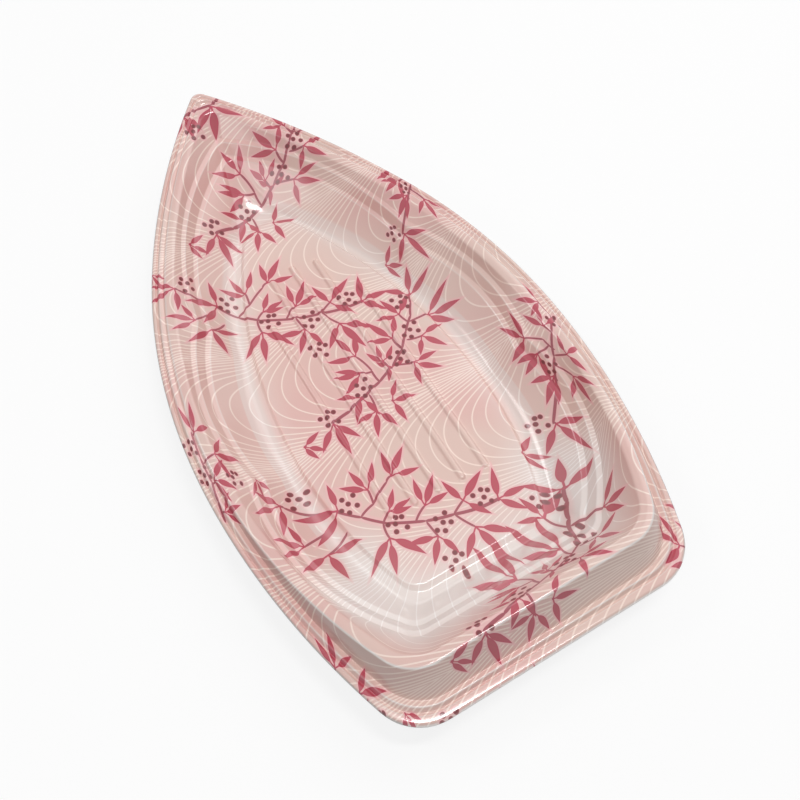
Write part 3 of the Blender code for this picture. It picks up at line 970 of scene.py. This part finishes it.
# %% [markdown]
# The floor looks white to the camera but bounces little light, so that the walls of the plate keep
# their shade. Most of its white is a glow, and the rest is lit and takes the shadow.

# %% Floor
FLOOR_HALF = 4.0
FLOOR_BOUNCE, FLOOR_WHITE = (0.12, 0.12, 0.12), (0.95, 0.95, 0.95)  # for bounced light, and for the eye
FLOOR_GLOW = 0.84       # the rest is lit, and takes the shadow
floor_mesh = bpy.data.meshes.new("floor")
floor_corners = [(x * FLOOR_HALF, y * FLOOR_HALF, 0.0) for x, y in ((-1, -1), (1, -1), (1, 1), (-1, 1))]
floor_mesh.from_pydata(floor_corners, [], [(0, 1, 2, 3)])
floor = bpy.data.objects.new("floor", floor_mesh)
bpy.context.scene.collection.objects.link(floor)
white, tree, shader = start_finish("white floor")
direct = seen(tree)
tree.links.new(blend(direct, FLOOR_BOUNCE, FLOOR_WHITE).socket, shader.inputs["Base Color"])
shader.inputs["Roughness"].default_value = 0.9
glow = add_node(tree, "ShaderNodeEmission", {}, 0, {"Color": (1.0, 1.0, 1.0), "Strength": 1.0})
lit = Wire(tree, shader.outputs[0])
surface = add_node(tree, "ShaderNodeMixShader", {}, 0, {0: direct * FLOOR_GLOW, 1: lit, 2: glow})
output = next(n for n in tree.nodes if n.type == "OUTPUT_MATERIAL")
tree.links.new(surface.socket, output.inputs["Surface"])
floor_mesh.materials.append(white)
print("floor", 2.0 * FLOOR_HALF, "m across")

# %% [markdown]
# The camera sees a plain white sky. The light on the plate comes from another one, with a bright patch
# overhead that fades to a dim rim.

# %% Sky
BRIGHT_SIDE = Vector((-0.08, 0.02, 0.99)).normalized()
SKY_DIM, SKY_BRIGHT, SKY_EDGE = 0.03, 0.34, (0.38, 0.62)
world = bpy.data.worlds.new("sky")
bpy.context.scene.world = world
world.use_nodes = True
tree = world.node_tree
background = tree.nodes["Background"]
background.inputs["Color"].default_value = (1.0, 1.0, 1.0, 1.0)
outward = add_node(tree, "ShaderNodeTexCoord", {}, "Generated", {})
facing = add_node(tree, "ShaderNodeVectorMath", {"operation": "DOT_PRODUCT"}, "Value",
                  {0: outward, 1: tuple(BRIGHT_SIDE)})
strength = facing.between(*SKY_EDGE) * (SKY_BRIGHT - SKY_DIM) + SKY_DIM
tree.links.new((seen(tree) * (1.0 - strength) + strength).socket, background.inputs["Strength"])
print("sky from", SKY_DIM, "to", SKY_BRIGHT)

# %% [markdown]
# The brightness of a lamp is that of its face. So a larger lamp gives more light in all, and softer
# edges.

# %% Lamps
LAMP_AIM = Vector((0.0, 0.0, 0.01))


def soft_lamp(name, place, size, brightness):
    """A flat lamp that faces the plate."""
    data = bpy.data.lights.new(name, "AREA")
    data.shape = "RECTANGLE"
    data.size, data.size_y = size
    data.energy = brightness * math.pi * size[0] * size[1]
    lamp = bpy.data.objects.new(name, data)
    lamp.location = place
    lamp.rotation_euler = (LAMP_AIM - Vector(place)).to_track_quat("-Z", "Y").to_euler()
    bpy.context.scene.collection.objects.link(lamp)
    print(name, round(data.energy, 2), "W")


soft_lamp("bow lamp", (0.85, -0.26, 0.47), (0.45, 0.3), 2.0)
soft_lamp("port bow lamp", (0.455, 0.44, 0.76), (0.2, 0.2), 6.0)
soft_lamp("port lamp", (-0.25, 0.72, 0.62), (0.35, 0.35), 2.4)
soft_lamp("starboard lamp", (0.16, -0.74, 0.72), (0.8, 0.8), 1.45)
soft_lamp("tube lamp", (-0.11, -0.16, 1.0), (0.08, 0.34), 42.0)

# %% [markdown]
# The camera stands over the stern quarter, where the photograph was taken from. Its focal length is
# written in pixels of the frame, because that is how a camera is fitted to a photograph, and then
# turned into millimetres.

# %% Camera
SENSOR, FRAME_PIXELS, FOCAL_PIXELS = 36.0, 800.0, 950.0
bpy.context.scene.view_settings.view_transform = "Standard"
camera_data = bpy.data.cameras.new("camera")
camera_data.lens = SENSOR * FOCAL_PIXELS / FRAME_PIXELS
camera_data.sensor_width = SENSOR
camera = bpy.data.objects.new("camera", camera_data)
bpy.context.scene.collection.objects.link(camera)
camera.location = (-0.16040, 0.07630, 0.29716)
camera.rotation_euler = [math.radians(a) for a in (28.669, -0.080, -120.664)]
bpy.context.view_layer.update()
bpy.context.scene.camera = camera
print("camera at", [round(v, 3) for v in camera.matrix_world.translation])
